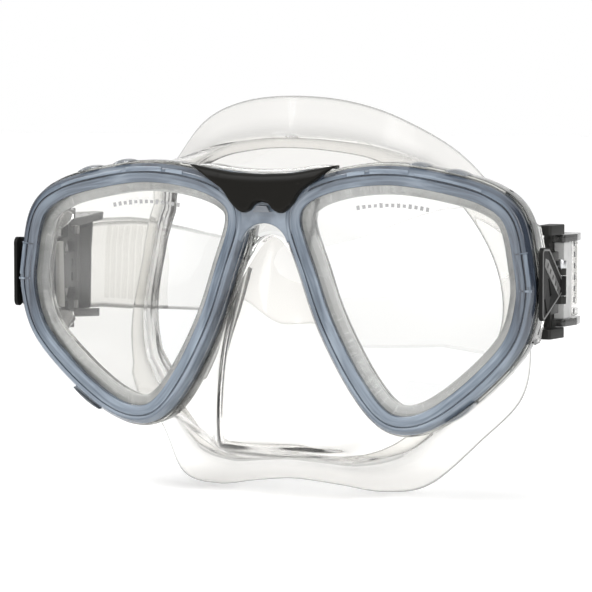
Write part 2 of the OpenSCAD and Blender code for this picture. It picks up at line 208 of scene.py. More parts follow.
class Shape:
    """Vertices and faces of one piece, in the mask's millimetres, gathered part by part."""

    def __init__(self):
        self.points = []
        self.faces = []
        self.runs = []

    def add(self, points, faces, runs=None):
        """Each point's run is its place along an outline and its distance outwards."""
        start = len(self.points)
        self.points.extend(np.asarray(points, float).tolist())
        self.faces.extend([[start + i for i in face] for face in faces])
        self.runs.extend(np.zeros((len(points), 3)) if runs is None else runs)

    def piece(self, name, material, body, replaces=(), slot=None, smooth_angle=35):
        mesh = bpy.data.meshes.new(name)
        mesh.from_pydata(in_frame(self.points).tolist(), [], self.faces)
        run = mesh.attributes.new("run", "FLOAT_VECTOR", "POINT")
        run.data.foreach_set("vector", np.array(self.runs, float).ravel())
        bm = bmesh.new()
        bm.from_mesh(mesh)
        bmesh.ops.remove_doubles(bm, verts=bm.verts, dist=1e-7)
        bmesh.ops.recalc_face_normals(bm, faces=bm.faces)
        bm.to_mesh(mesh)
        bm.free()
        return finished(mesh, name, material, body, replaces, smooth_angle)


def finished(mesh, name, material, body, replaces=(), smooth_angle=35):
    """Links a mesh as a piece that rides on its body."""
    mesh.materials.clear()
    mesh.materials.append(material)
    mesh.shade_smooth()
    if smooth_angle:
        mesh.set_sharp_from_angle(angle=math.radians(smooth_angle))
    made = bpy.data.objects.new(name, mesh)
    bpy.context.scene.collection.objects.link(made)
    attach(made, body)
    if replaces:
        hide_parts(*replaces)
    return made


def grid_faces(rows, columns, close_rows=True, close_columns=True):
    return [[r * columns + c, r * columns + (c + 1) % columns,
             (r + 1) % rows * columns + (c + 1) % columns, (r + 1) % rows * columns + c]
            for r in range(rows if close_rows else rows - 1)
            for c in range(columns if close_columns else columns - 1)]


def swept(outline, profile, place, closed=True, shade=0.0):
    """A profile of (outward, back) points carried along an outline."""
    side = side_of(outline, closed)
    profile = np.asarray(profile, float)
    n, columns = len(outline), len(profile)
    across = outline[:, None] + side[:, None] * profile[None, :, :1]
    depth = np.broadcast_to(profile[None, :, 1], across.shape[:2])
    rings = np.stack([across[..., 0], depth, across[..., 1]], -1).reshape(-1, 3)
    faces = grid_faces(n, columns, close_rows=closed)
    if not closed:
        faces += [list(range(columns)), [(n - 1) * columns + k for k in range(columns)][::-1]]
    runs = np.concatenate([np.repeat(outline, columns, 0),
                           np.tile(profile[:, :1] + shade, (n, 1))], 1)
    return place(rings), faces, runs


def slab(outline, front, back, place, bevel=0.3, steps=3):
    """A flat outline given a depth, with rounded front and back edges."""
    outline = np.asarray(outline, float)
    side = side_of(outline)
    turn = [math.pi / 2 * k / steps for k in range(steps + 1)]
    painted_bands = [(-bevel * (1 - math.sin(a)), front + bevel * (1 - math.cos(a))) for a in turn]
    painted_bands += [(-bevel * (1 - math.cos(a)), back - bevel * (1 - math.sin(a))) for a in turn]
    rings = [np.stack([(outline + side * out)[:, 0], np.full(len(outline), depth),
                       (outline + side * out)[:, 1]], 1) for out, depth in painted_bands]
    n = len(outline)
    faces = grid_faces(len(rings), n, close_rows=False)
    faces += [list(range(n))[::-1], [(len(rings) - 1) * n + k for k in range(n)]]
    points = np.vstack(rings)
    runs = np.stack([points[:, 0], points[:, 2], np.full(len(points), 2.0)], 1)
    return place(points), faces, runs


def side_place(side):
    """For outlines drawn back and up, with their thickness across."""
    return lambda p: np.stack([p[:, 1] * side, p[:, 0], p[:, 2]], 1)


def stretch(outline, start, end):
    """The part of a closed outline that runs from near one point to near another."""
    outline = np.asarray(outline)
    a, b = (int(np.argmin(np.linalg.norm(outline - np.array(p), axis=1)))
            for p in (start, end))
    return outline[a:b + 1] if a < b else np.vstack([outline[a:], outline[:b + 1]])


def thick_sheet(rows, offsets):
    """A closed sheet between two copies of a grid of points, moved apart."""
    rows = np.asarray(rows, float)
    m, n = rows.shape[:2]
    near, far = rows + offsets[0], rows + offsets[1]
    points = np.vstack([near.reshape(-1, 3), far.reshape(-1, 3)])
    faces = grid_faces(m, n, False, False)
    faces += [[m * n + i for i in face] for face in faces]
    rim = ([(0, j) for j in range(n)] + [(i, n - 1) for i in range(1, m)]
           + [(m - 1, j) for j in range(n - 2, -1, -1)] + [(i, 0) for i in range(m - 2, 0, -1)])
    rim = [i * n + j for i, j in rim]
    faces += [[a, b, m * n + b, m * n + a] for a, b in zip(rim, rim[1:] + rim[:1])]
    return points, faces


# --- outlines that the frame, bezel and skirt share -------------------------------------

# Edge of the right-hand opening, across and up, clockwise from the nose
OPENING_POINTS = [
    (12.2, 14.5), (15.8, 21), (27.5, 25.1), (42.8, 26.3), (59.2, 23.9), (71.4, 20.3),
    (78.1, 14.5), (80.9, 1.5), (81.4, -8.5), (77.8, -20.5), (67.3, -32.3), (55, -41.8),
    (45.9, -45), (38.8, -42.6), (30.6, -31.8), (22.4, -16), (16.9, -0.5),
]
OPENING = resampled(smooth_loop(OPENING_POINTS, 24), 260, closed=True)

COVER_POINTS = [
    (0, 29.5), (10, 30), (18, 31.3), (24.5, 32.3), (22, 30.5), (17, 27), (13, 24),
    (10.5, 20.5), (8, 18), (6, 17.3), (4, 18.2), (2.5, 20), (0, 20.8),
]

SKIRT_FRONT = [
    (0, 8.5, 27), (20, 8.5, 29), (42, 9.5, 30.5), (64, 10.5, 26.5), (80, 11.5, 14),
    (83, 11.8, -3), (80, 11.7, -20), (66, 11.5, -36), (45, 10.5, -48), (30, 9.5, -39),
    (19, 8.5, -22), (12, 8, -4), (0, 7, 10),
]
SKIRT_OUTER_EDGE = [
    (0, 24, 53.5), (18, 27, 51.8), (34, 33.5, 46), (50, 47, 34), (64, 52, 15),
    (68, 53, -4), (70.5, 53, -25), (68, 52, -43), (56, 46.5, -57), (43, 34, -70),
    (29, 30, -72.7), (14, 26, -70.5), (0, 24, -69),
]
SKIRT_INNER_EDGE = [
    (0, 19.5, 37), (13, 22, 36), (27, 26, 33), (40, 31, 26), (50, 38, 15.5),
    (57, 43.5, 0), (59, 44.5, -16), (55, 40, -30), (46, 33, -43), (34, 28, -56),
    (20, 24, -61), (9, 21, -60.5), (0, 20, -60),
]
SKIRT_JOIN = [0.25, 0.28, 0.35, 0.5, 0.6, 0.6, 0.55, 0.5, 0.4, 0.3, 0.25, 0.25, 0.25]
NOSE_WALL = {
    9: [(29, 12, -47), (29, 17, -54), (30, 24, -59)],
    10: [(18.5, 4, -38), (19, 5, -55), (20, 14, -60)],
    11: [(12.5, -3, -28), (12.8, -4.5, -52), (12, 3, -58.5)],
    12: [(0, -4, -22), (0, -7, -50), (0, 0, -58.5)],
}


# --- materials --------------------------------------------------------------------------

def fill(tree, node, sockets):
    """Gives each socket its value, or joins it to the output that feeds it."""
    for name, value in sockets.items():
        if isinstance(value, bpy.types.NodeSocket):
            tree.links.new(value, node.inputs[name])
        else:
            node.inputs[name].default_value = value


def put(tree, kind, sockets=None, **settings):
    """Adds a node with its settings and its sockets filled."""
    made = tree.nodes.new(kind)
    for name, value in settings.items():
        setattr(made, name, value)
    fill(tree, made, sockets or {})
    return made


def reckoned(tree, operation, *values, clamp=False):
    """The result of one sum on numbers that change over the surface."""
    return put(tree, "ShaderNodeMath", dict(enumerate(values)), operation=operation,
               use_clamp=clamp).outputs[0]


def ranged(tree, value, start, end, low=0.0, high=1.0):
    """A value carried from one range into another."""
    return put(tree, "ShaderNodeMapRange", {"Value": value, "From Min": start, "From Max": end,
                                            "To Min": low, "To Max": high}).outputs["Result"]


def between(tree, amount, first, second):
    """One colour carried into another."""
    return put(tree, "ShaderNodeMix", {"Factor": amount, 6: first, 7: second},
               data_type="RGBA").outputs[2]


def grouped(tree, group, sockets):
    """A shared group set into a material's tree; gives its outputs."""
    made = put(tree, "ShaderNodeGroup", node_tree=group)
    fill(tree, made, sockets)
    return made.outputs


def object_place(tree):
    return put(tree, "ShaderNodeTexCoord").outputs["Object"]


def run_place(tree):
    """Place along a piece's outline and distance outwards, and the two taken apart."""
    run = put(tree, "ShaderNodeAttribute", attribute_name="run").outputs["Vector"]
    return run, put(tree, "ShaderNodeSeparateXYZ", {0: run}).outputs


def socket_group(name, inputs, outputs, family="ShaderNodeTree"):
    """An empty group with named inputs and outputs, what it is given and its end node."""
    tree = bpy.data.node_groups.new(name, family)
    for label, kind, value in inputs:
        made = tree.interface.new_socket(label, in_out="INPUT", socket_type=kind)
        if value is not None:
            made.default_value = value
    for label, kind in outputs:
        tree.interface.new_socket(label, in_out="OUTPUT", socket_type=kind)
    return tree, tree.nodes.new("NodeGroupInput").outputs, tree.nodes.new("NodeGroupOutput")


def moulded_skin():
    """Fine moulding grain, slow colour drift and light edge wear."""
    tree, given, out = socket_group("moulded_skin", [
        ("Color", "NodeSocketColor", (0.5, 0.5, 0.5, 1)),
        ("Worn Color", "NodeSocketColor", (0.7, 0.7, 0.7, 1)),
        ("Roughness", "NodeSocketFloat", 0.4),
        ("Grain Size", "NodeSocketFloat", 2500.0),
        ("Wear", "NodeSocketFloat", 0.3),
    ], [("Color", "NodeSocketColor"), ("Roughness", "NodeSocketFloat"),
        ("Height", "NodeSocketFloat")])
    where = object_place(tree)
    grain = put(tree, "ShaderNodeTexNoise", {"Vector": where, "Scale": given["Grain Size"],
                                             "Detail": 3}).outputs["Fac"]
    drift = put(tree, "ShaderNodeTexNoise", {"Vector": where, "Scale": 60}).outputs["Fac"]
    shape = put(tree, "ShaderNodeNewGeometry")
    edge = ranged(tree, shape.outputs["Pointiness"], 0.515, 0.6)
    worn = reckoned(tree, "MULTIPLY", edge, given["Wear"])
    patchy = reckoned(tree, "MULTIPLY", worn, drift)
    tone = put(tree, "ShaderNodeVectorMath", {0: given["Color"]}, operation="SCALE")
    fill(tree, tone, {"Scale": ranged(tree, drift, 0, 1, 0.88, 1.12)})
    rough = ranged(tree, grain, 0, 1, -0.06, 0.06)
    fill(tree, out, {
        "Color": between(tree, patchy, tone.outputs[0], given["Worn Color"]),
        "Roughness": reckoned(tree, "ADD", given["Roughness"], rough),
        "Height": grain,
    })
    return tree


def flow_marks():
    """Faint smears and dust that break up the gloss of a clear moulding."""
    tree, given, out = socket_group("flow_marks", [
        ("Roughness", "NodeSocketFloat", 0.1),
        ("Smear", "NodeSocketFloat", 0.08),
        ("Scale", "NodeSocketFloat", 140.0),
    ], [("Roughness", "NodeSocketFloat"), ("Height", "NodeSocketFloat")])
    wave = put(tree, "ShaderNodeTexNoise", {"Vector": object_place(tree), "Detail": 4,
                                            "Scale": given["Scale"],
                                            "Distortion": 0.6}).outputs["Fac"]
    mask = ranged(tree, wave, 0.42, 0.7)
    fill(tree, out, {
        "Roughness": reckoned(tree, "MULTIPLY_ADD", mask, given["Smear"], given["Roughness"]),
        "Height": wave,
    })
    return tree


def tinted_streaks_and_shade():
    """Streaks along a tinted moulding's ring, with painted shade and painted highlight bands
    across it.
    """
    tree, given, out = socket_group("tinted_streaks_and_shade", [
        ("Color", "NodeSocketColor", (0.2, 0.27, 0.37, 1)),
        ("Painted Shade", "NodeSocketColor", (0.1, 0.14, 0.2, 1)),
        ("Light", "NodeSocketColor", (0.4, 0.48, 0.6, 1)),
        ("Roughness", "NodeSocketFloat", 0.12),
    ], [("Color", "NodeSocketColor"), ("Roughness", "NodeSocketFloat"),
        ("Height", "NodeSocketFloat")])
    run, split = run_place(tree)
    drawn = put(tree, "ShaderNodeVectorMath", {0: run, 1: (0.07, 0.07, 0.8)},
                operation="MULTIPLY")
    streak = put(tree, "ShaderNodeTexNoise", {"Vector": drawn.outputs[0], "Scale": 1.0,
                                              "Detail": 5, "Distortion": 0.5}).outputs["Fac"]
    # Grey levels by distance outwards across the profile: painted shade at the inner edge, in the
    # groove and on the rounded outer edge; painted highlight along the inner lip and on the
    # raised tabs and ticks.
    painted_bands = put(tree, "ShaderNodeValToRGB", {"Fac": ranged(tree, split["Z"], 0, 10)})
    ramp = painted_bands.color_ramp
    ramp.interpolation = "EASE"
    stops = [(0.0, 0.15), (0.03, 0.62), (0.3, 0.5), (0.335, 0.0), (0.36, 0.55), (0.46, 0.5),
             (0.5, 0.28), (0.6, 0.22), (0.7, 0.75), (1.0, 0.85)]
    while len(ramp.elements) < len(stops):
        ramp.elements.new(0.5)
    for element, (place, value) in zip(ramp.elements, stops):
        element.position = place
        element.color = (value, value, value, 1)
    spread = ranged(tree, streak, 0.3, 0.7, -0.32, 0.32)
    # Painted shade on the ring's outer sides (74 to 81 mm across), and lighter towards the bottom
    # (below -12 mm).
    side_shade = ranged(tree, split["X"], 74, 81, 0, -0.3)
    under = ranged(tree, split["Y"], -12, -24, 0, 0.22)
    shaded = reckoned(tree, "ADD", spread, reckoned(tree, "ADD", side_shade, under))
    level = reckoned(tree, "ADD", painted_bands.outputs["Color"], shaded, clamp=True)
    dark = between(tree, ranged(tree, level, 0, 0.5), given["Painted Shade"], given["Color"])
    fill(tree, out, {
        "Color": between(tree, ranged(tree, level, 0.5, 1), dark, given["Light"]),
        "Roughness": reckoned(tree, "MULTIPLY_ADD", streak, 0.1, given["Roughness"]),
        "Height": streak,
    })
    return tree


MOULDED = moulded_skin()
FLOW = flow_marks()
STREAKS_AND_SHADE = tinted_streaks_and_shade()


def start_material(name):
    made = bpy.data.materials.new(name)
    made.use_nodes = True
    return made, made.node_tree, made.node_tree.nodes["Principled BSDF"]


def bump_into(tree, height, shader, strength, distance):
    bump = put(tree, "ShaderNodeBump", {"Strength": strength, "Distance": distance,
                                        "Height": height})
    fill(tree, shader, {"Normal": bump.outputs["Normal"]})


def moulded(name, color, worn, roughness, grain=2500.0, wear=0.3, metallic=0.0, coat=0.0,
            bump=0.15, gloss=0.3):
    made, tree, shader = start_material(name)
    skin = grouped(tree, MOULDED, {"Color": (*color, 1), "Worn Color": (*worn, 1),
                                   "Roughness": roughness, "Grain Size": grain,
                                   "Wear": wear})
    fill(tree, shader, {"Base Color": skin["Color"], "Roughness": skin["Roughness"],
                        "Metallic": metallic, "Coat Weight": coat,
                        "Specular IOR Level": gloss})
    bump_into(tree, skin["Height"], shader, bump, 0.0001)
    return made


def clear_moulding(name, roughness, smear, ior, transmission, scale=140.0, bump=0.02,
                   gloss=0.5):
    """Starts a clear material: its flow marks, its gloss and the light that it lets through."""
    made, tree, shader = start_material(name)
    marks = grouped(tree, FLOW, {"Roughness": roughness, "Smear": smear, "Scale": scale})
    fill(tree, shader, {"Roughness": marks["Roughness"], "IOR": ior,
                        "Transmission Weight": transmission, "Specular IOR Level": gloss})
    bump_into(tree, marks["Height"], shader, bump, 0.0004)
    return made, tree, shader


def clear(name, color, roughness, smear, ior, scale=140.0, bump=0.02, transmission=1.0,
          gloss=0.5):
    made, tree, shader = clear_moulding(name, roughness, smear, ior, transmission, scale,
                                        bump, gloss)
    fill(tree, shader, {"Base Color": (*color, 1)})
    return made


def shade_edged(name, color, edge, roughness, ior, transmission, span=(0.0, 1.0)):
    """A clear material with painted shade: greyer along its folds and outer edges, by the run's
    third value.
    """
    made, tree, shader = clear_moulding(name, roughness, 0.05, ior, transmission, scale=90)
    amount = ranged(tree, run_place(tree)[1]["Z"], *span)
    fill(tree, shader, {"Base Color": between(tree, amount, (*color, 1), (*edge, 1))})
    return made


def guard_plastic():
    """Clear plastic with two cheeks painted dark, painted shade of their glassy edges, and a
    paler wall between them.
    """
    made, tree, shader = clear_moulding("guard_clear", 0.1, 0.06, 1.45, 0.5)
    split = put(tree, "ShaderNodeSeparateXYZ", {0: object_place(tree)})
    middle = reckoned(tree, "ADD", split.outputs["Z"], -STRAP_MID_Z * MM)
    # Painted shade on the cheeks above and below the strap.
    cheek_shade = ranged(tree, reckoned(tree, "ABSOLUTE", middle), *(x * MM for x in GUARD_CHEEK_SHADE))
    tone = between(tree, cheek_shade, (0.76, 0.76, 0.75, 1), (0.07, 0.07, 0.068, 1))
    fill(tree, shader, {"Base Color": tone})
    return made


def tinted(name, color, shade_color, light, roughness, transmission):
    made, tree, shader = start_material(name)
    painted_bands = grouped(tree, STREAKS_AND_SHADE, {"Color": (*color, 1), "Painted Shade": (*shade_color, 1),
                                    "Light": (*light, 1), "Roughness": roughness})
    # Base Color carries the group's painted shade and painted highlight bands.
    fill(tree, shader, {"Base Color": painted_bands["Color"], "Roughness": painted_bands["Roughness"],
                        "Transmission Weight": transmission, "IOR": 1.5,
                        "Coat Weight": 0.5, "Coat Roughness": 0.05})
    bump_into(tree, painted_bands["Height"], shader, 0.05, 0.0003)
    return made


# The second colour of each edge-shaded material is its painted shade; the frame takes it on its
# outer rim, 6.3 to 6.9 mm out.
CLEAR_FRAME = shade_edged("clear_frame", (0.88, 0.885, 0.875), (0.4, 0.41, 0.4), 0.02, 1.5, 1.0,
                    span=(6.3, 6.9))
CLEAR_GUARD = guard_plastic()
GLASS = clear("lens_glass", (0.97, 0.975, 0.971), 0.0, 0.01, 1.5, bump=0.0, gloss=0.1)
SKIRT_SILICONE = shade_edged("skirt_silicone", (0.9, 0.89, 0.868), (0.38, 0.38, 0.37), 0.03, 1.2,
                       0.975)
SEAL_SILICONE = clear("seal_silicone", (0.83, 0.833, 0.823), 0.15, 0.08, 1.3, bump=0.004,
                      transmission=0.7)
STRAP_SILICONE = shade_edged("strap_silicone", (0.945, 0.94, 0.928), (0.4, 0.4, 0.39), 0.06, 1.09,
                       0.96)
# Its second and third colours are the bezel's painted shade and painted highlight.
TINTED = tinted("tinted_bezel", (0.13, 0.162, 0.205), (0.04, 0.05, 0.07),
                (0.27, 0.32, 0.38), 0.1, 0.25)
CLIP_CLEAR = clear("clip_clear", (0.4, 0.43, 0.46), 0.08, 0.08, 1.5, transmission=0.7)
BLACK = moulded("black_cover", (0.004, 0.0035, 0.0025), (0.05, 0.046, 0.04), 0.42, gloss=0.12)
BADGE = moulded("badge_grey", (0.1, 0.11, 0.125), (0.45, 0.47, 0.5), 0.25, coat=0.2)
BUCKLE = moulded("buckle_dark", (0.018, 0.018, 0.017), (0.12, 0.12, 0.115), 0.42, gloss=0.12)
LEVER = moulded("lever_dark", (0.008, 0.008, 0.0078), (0.05, 0.05, 0.049), 0.45, grain=3500,
                gloss=0.06)
ROLLER = moulded("roller_dark", (0.012, 0.012, 0.012), (0.1, 0.1, 0.1), 0.45, gloss=0.12)
STEEL = moulded("pin_steel", (0.6, 0.61, 0.62), (0.8, 0.8, 0.8), 0.25, metallic=1.0)
SPRING = moulded("spring_steel", (0.5, 0.51, 0.52), (0.8, 0.8, 0.8), 0.3, metallic=1.0)
MARK = moulded("etched_mark", (0.28, 0.28, 0.28), (0.4, 0.4, 0.4), 0.7)
# Lighter grey for the lever's band, and for its rim, where it is a painted highlight.
LEVER_BAND_AND_HIGHLIGHT = moulded("lever_band_and_highlight", (0.085, 0.085, 0.083), (0.45, 0.45, 0.45), 0.3, coat=0.2)
RIB_GREY = moulded("rib_grey", (0.16, 0.16, 0.165), (0.3, 0.3, 0.3), 0.35)
STRIP = moulded("buckle_strip", (0.45, 0.45, 0.43), (0.7, 0.7, 0.69), 0.35)


# --- rows of small repeated details -----------------------------------------------------

def row_tree():
    """Small blocks set out evenly along a line of edges, turned to face its normals."""
    tree, given, out = socket_group("row_of_blocks", [
        ("Geometry", "NodeSocketGeometry", None),
        ("Count", "NodeSocketInt", 9),
        ("Block Size", "NodeSocketVector", (0.001, 0.001, 0.001)),
        ("Size Variation", "NodeSocketFloat", 0.0),
        ("Material", "NodeSocketMaterial", None),
    ], [("Geometry", "NodeSocketGeometry")], "GeometryNodeTree")
    curve = put(tree, "GeometryNodeMeshToCurve", {"Mesh": given["Geometry"]})
    even = put(tree, "GeometryNodeResampleCurve", {"Curve": curve.outputs["Curve"],
                                                   "Count": given["Count"]})
    block = put(tree, "GeometryNodeMeshCube", {"Size": given["Block Size"]})
    facing = put(tree, "GeometryNodeInputNamedAttribute", {"Name": "facing"},
                 data_type="FLOAT_VECTOR")
    tangent = put(tree, "GeometryNodeInputTangent")
    upright = put(tree, "FunctionNodeAlignRotationToVector",
                  {"Vector": facing.outputs["Attribute"]}, axis="Z")
    turned = put(tree, "FunctionNodeAlignRotationToVector",
                 {"Rotation": upright.outputs["Rotation"], "Vector": tangent.outputs["Tangent"]},
                 axis="X", pivot_axis="Z")
    vary = put(tree, "FunctionNodeRandomValue", {"Seed": 7}, data_type="FLOAT")
    low, high = ([i for i in vary.inputs if i.name == name and i.type == "VALUE"][0]
                 for name in ("Min", "Max"))
    high.default_value = 1.0
    tree.links.new(reckoned(tree, "SUBTRACT", 1.0, given["Size Variation"]), low)
    varied = [o for o in vary.outputs if o.type == "VALUE"][0]
    size = put(tree, "ShaderNodeCombineXYZ", {"X": 1.0, "Y": varied, "Z": 1.0})
    spread = put(tree, "GeometryNodeInstanceOnPoints", {
        "Points": even.outputs["Curve"], "Instance": block.outputs["Mesh"],
        "Rotation": turned.outputs["Rotation"], "Scale": size.outputs["Vector"]})
    solid = put(tree, "GeometryNodeRealizeInstances", {"Geometry": spread.outputs["Instances"]})
    paint = put(tree, "GeometryNodeSetMaterial", {"Geometry": solid.outputs["Geometry"],
                                                  "Material": given["Material"]})
    fill(tree, out, {"Geometry": paint.outputs["Geometry"]})
    return tree


ROW = row_tree()


def block_row(name, line, facing, count, size, material, body, variation=0.0,
              replaces=()):
    """Blocks along a line in the mask's millimetres, their tops along facing."""
    line = np.asarray(line, float)
    mesh = bpy.data.meshes.new(name + "_line")
    mesh.from_pydata(in_frame(line).tolist(), [(i, i + 1) for i in range(len(line) - 1)], [])
    normal = mesh.attributes.new("facing", "FLOAT_VECTOR", "POINT")
    normal.data.foreach_set("vector", np.broadcast_to(facing, line.shape).astype(float).ravel())
    guide = bpy.data.objects.new(name + "_guide", mesh)
    bpy.context.scene.collection.objects.link(guide)
    row = guide.modifiers.new("row", "NODES")
    row.node_group = ROW
    names = {item.name: item.identifier for item in ROW.interface.items_tree
             if item.in_out == "INPUT"}
    row[names["Count"]] = count
    row[names["Block Size"]] = [x * MM for x in size]
    row[names["Size Variation"]] = variation
    row[names["Material"]] = material
    guide.update_tag()
    graph = bpy.context.evaluated_depsgraph_get()
    made = bpy.data.meshes.new_from_object(guide.evaluated_get(graph))
    bpy.data.objects.remove(guide)
    for attribute in [a for a in made.attributes if a.name == "facing"]:
        made.attributes.remove(attribute)
    return finished(made, name, material, body, replaces, 30)


# --- lenses, seals and frame ------------------------------------------------------------

def place_on(side):
    return lambda points: on_lens_plane(points, side)


def make_lens(side, name):
    shape = Shape()
    shape.add(*slab(OPENING + side_of(OPENING) * 2, 1.5, 4.5, place_on(side), bevel=0.35))
    shape.piece(name, GLASS, "frame", [name], "lens_glass")


def make_lens_seal(side, name):
    profile = rounded([(SEAL_W, 4.5), (SEAL_W, 6), (-SEAL_LIP, 6), (-SEAL_LIP, 4.5)], 0.45)
    shape = Shape()
    shape.add(*swept(OPENING, profile, place_on(side)))
    shape.piece(name, SEAL_SILICONE, "frame", [name], "seal_silicone")


def make_lens_marks(side, word):
    """A plain row of small strokes near the top of a lens."""
    x = np.linspace(30.5, 53, 16)
    z = 20.1 - 0.008 * (x - 41) ** 2
    line = on_lens_plane(np.stack([x, np.full(16, 1.47), z], 1), side)
    block_row("lens_strokes_" + word, line, (0, -1, 0), 13, (1.05, 1.5, 0.06), MARK, "frame",
              variation=0.35)


def bridge_outline(arch_z, sides, start=0.0):
    """Bridge seen from the front: top edge, sides that run into the rings, arch below."""
    arch = [(ARCH_R * math.cos(a), arch_z + ARCH_R * math.sin(a))
            for a in np.linspace(start, math.pi - start, 25)]
    top = smooth_line([(-18, 31.2), (0, 29.3), (18, 31.2)], 5).tolist()
    return np.array([(-x, z) for x, z in sides[::-1]] + top + sides + arch)


def ear_outline():
    """Side view of the ear that holds a swivel pin, ending in an arc round the pin."""
    arc = [PIVOT + 6.2 * np.array([math.cos(t), math.sin(t)])
           for t in np.linspace(math.radians(58), math.radians(-58), 15)]
    return resampled(np.vstack([[(10, 15), (16.3, 13.5), (17.5, 11)], arc,
                                [(17.5, -19), (16.3, -21.5), (10, -22)]]), 90, closed=True)


def make_ears(shape, side):
    outer = ear_outline()
    way = outer - PIVOT
    hole = PIVOT + way / np.linalg.norm(way, axis=1)[:, None] * PIVOT_R
    loops = []
    for outline, x in ((outer - side_of(outer) * -0.4, EAR_X[0]), (outer, EAR_X[0] + 0.4),
                       (outer, EAR_X[1] - 0.4), (outer - side_of(outer) * -0.4, EAR_X[1]),
                       (hole, EAR_X[1]), (hole, EAR_X[0])):
        loops.append(np.stack([np.full(len(outline), x) * side, outline[:, 0],
                               outline[:, 1]], 1))
    shape.add(np.vstack(loops), grid_faces(6, len(outer)))


def make_wings(shape, side):
    """Webs from the frame's rim back to the buckle, above and below the ear."""
    for edge, root in ((WING_TOP_EDGE, WING_TOP_ROOT), (WING_LOW_EDGE, WING_LOW_ROOT)):
        edge, root = smooth_line(edge, 6), smooth_line(root, 6)
        rows = np.array([edge * (1 - t) + root * t for t in np.linspace(0, 1, 7)])
        rows[..., 0] *= side
        points, faces = thick_sheet(rows, (np.zeros(3), np.array([-1.5 * side, 0, 0])))
        shape.add(points, faces)
        bead = np.array([edge + np.array([-0.75 + 1.0 * math.cos(t), 0, 1.0 * math.sin(t)])
                         for t in np.linspace(0, 2 * math.pi, 9)[:-1]]).transpose(1, 0, 2)
        bead[..., 0] *= side
        n = len(bead)
        shape.add(bead.reshape(-1, 3), grid_faces(n, 8, close_rows=False)
                  + [list(range(8)), [(n - 1) * 8 + k for k in range(8)][::-1]])


WING_TOP_EDGE = [(77.8, 10.5, 24.2), (79.9, 15.5, 21), (79.9, 22, 16.8), (79.6, 30, 13.4)]
WING_TOP_ROOT = [(84.5, 11.5, 9), (81, 15.5, 9), (79.8, 22, 9.5), (79.6, 29, 11.2)]
WING_LOW_EDGE = [(74, 11, -32.2), (79, 17, -27), (79.8, 24, -22.5), (79.6, 31, -18.8)]
WING_LOW_ROOT = [(83.5, 12, -15), (81, 15.5, -15.5), (79.8, 22, -16), (79.6, 30, -16.6)]
NOSE_LIMB_ENDS = ((11.2, 9), (32, -34))
LIMB_TOP = (16.9, 1)


def make_main_frame():
    shape = Shape()
    ring = rounded([(FRAME_W, 6), (FRAME_W, 10), (-SEAL_LIP, 10), (-SEAL_LIP, 6)],
                   [0.2, 0.8, 0.8, 0.3])
    rim = rounded([(6.9, 3.5), (6.9, 10), (5.7, 10), (5.7, 6), (6.15, 5.8), (6.15, 3.5)],
                  [0.3, 0.5, 0, 0, 0, 0.2])
    limb = rounded([(FRAME_W, 9.5), (FRAME_W, 14), (3.8, 14), (3.8, 9.5)], 0.9)
    for side in (1, -1):
        shape.add(*swept(OPENING, ring, place_on(side)))
        shape.add(*swept(OPENING, rim, place_on(side)))
        inner = stretch(OPENING, NOSE_LIMB_ENDS[1], LIMB_TOP)
        shape.add(*swept(inner, limb, place_on(side), False))
    shape.piece("clear_frame_rings", CLEAR_FRAME, "frame", ["main_frame"], "clear_frame")
    ears = Shape()
    for side in (1, -1):
        make_ears(ears, side)
        make_wings(ears, side)
    ears.piece("clear_frame_sides", CLEAR_FRAME, "frame", ["main_frame"], "clear_frame")
    bridge = Shape()
    bridge.add(*slab(bridge_outline(2, [(12.5, 2)]), 6, 11.5, on_mid_plane, bevel=1.3,
                     steps=6))
    bridge.piece("clear_nose_arch", CLEAR_FRAME, "frame", ["main_frame"], "clear_frame")


def make_limb_ribs():
    for side, word in ((1, "right"), (-1, "left")):
        line = stretch(OPENING, (22, -15), (17.2, -2))
        line = line + side_of(line, False) * 5.2
        line = on_lens_plane(np.stack([line[:, 0], np.full(len(line), 9.4), line[:, 1]], 1),
                             side)
        block_row("limb_ribs_" + word, line, (0, -1, 0), 13, (0.35, 2.2, 0.7), RIB_GREY,
                  "frame")


BEZEL_PROFILE = rounded(
    [(0, 1.4), (0, -0.7), (3.0, -1.2), (3.12, -0.6), (3.42, -0.6), (3.55, -1.1), (4.7, -0.95),
     (6, 0.9), (6, 5.5), (2.3, 5.5), (2.3, 1.4)],
    [0, 0.35, 0.08, 0.08, 0.08, 0.1, 0.6, 0.6, 0.3, 0.2, 0])
# Raised tabs on the bezel: ends on the outline, then how far out they reach
BEZEL_TABS = [((28.5, 25.2), (34.4, 26), 3.7, 4.9), ((35.4, 26.1), (47.6, 25.8), 3.65, 5.1),
              ((48.8, 25.6), (70, 20.8), 3.7, 4.5), ((79.6, 5.2), (81.2, -4.4), 3.7, 4.9)]
TICK_HEIGHTS = (5.8, -5.2)


def make_bezel():
    shape = Shape()
    fine = resampled(OPENING, 1300, closed=True)
    for side in (1, -1):
        shape.add(*swept(OPENING, BEZEL_PROFILE, place_on(side)))
        # The tabs (offset 4.0) and ticks (offset 3.4) are carried into the tinted material's
        # lighter bands, a painted highlight.
        for start, end, low, high in BEZEL_TABS:
            tab = rounded([(low, -0.6), (low, -1.4), (high, -1.2), (high, -0.4)], 0.12)
            shape.add(*swept(stretch(fine, start, end)[::4], tab, place_on(side), False, 4.0))
        for z in TICK_HEIGHTS:
            tick = rounded([(1.2, 0), (1.2, -1.15), (3.0, -1.45), (5.2, -1.1), (5.2, 0)], 0.1)
            x = np.interp(z, (-8.5, 1.5), (81.4, 80.9))
            shape.add(*swept(stretch(fine, (x, z + 0.25), (x, z - 0.25)), tick,
                             place_on(side), False, 3.4))
    sides = [(15, 23.5), (11, 18), (9.9, 13), (9.2, 8.6)]
    shape.add(*slab(bridge_outline(6, sides, math.radians(15)), -0.55, 5.4, on_mid_plane,
                    bevel=0.6, steps=4))
    shape.piece("tinted_bezel_ring", TINTED, "frame", ["lens_bezel"], "tinted_bezel")


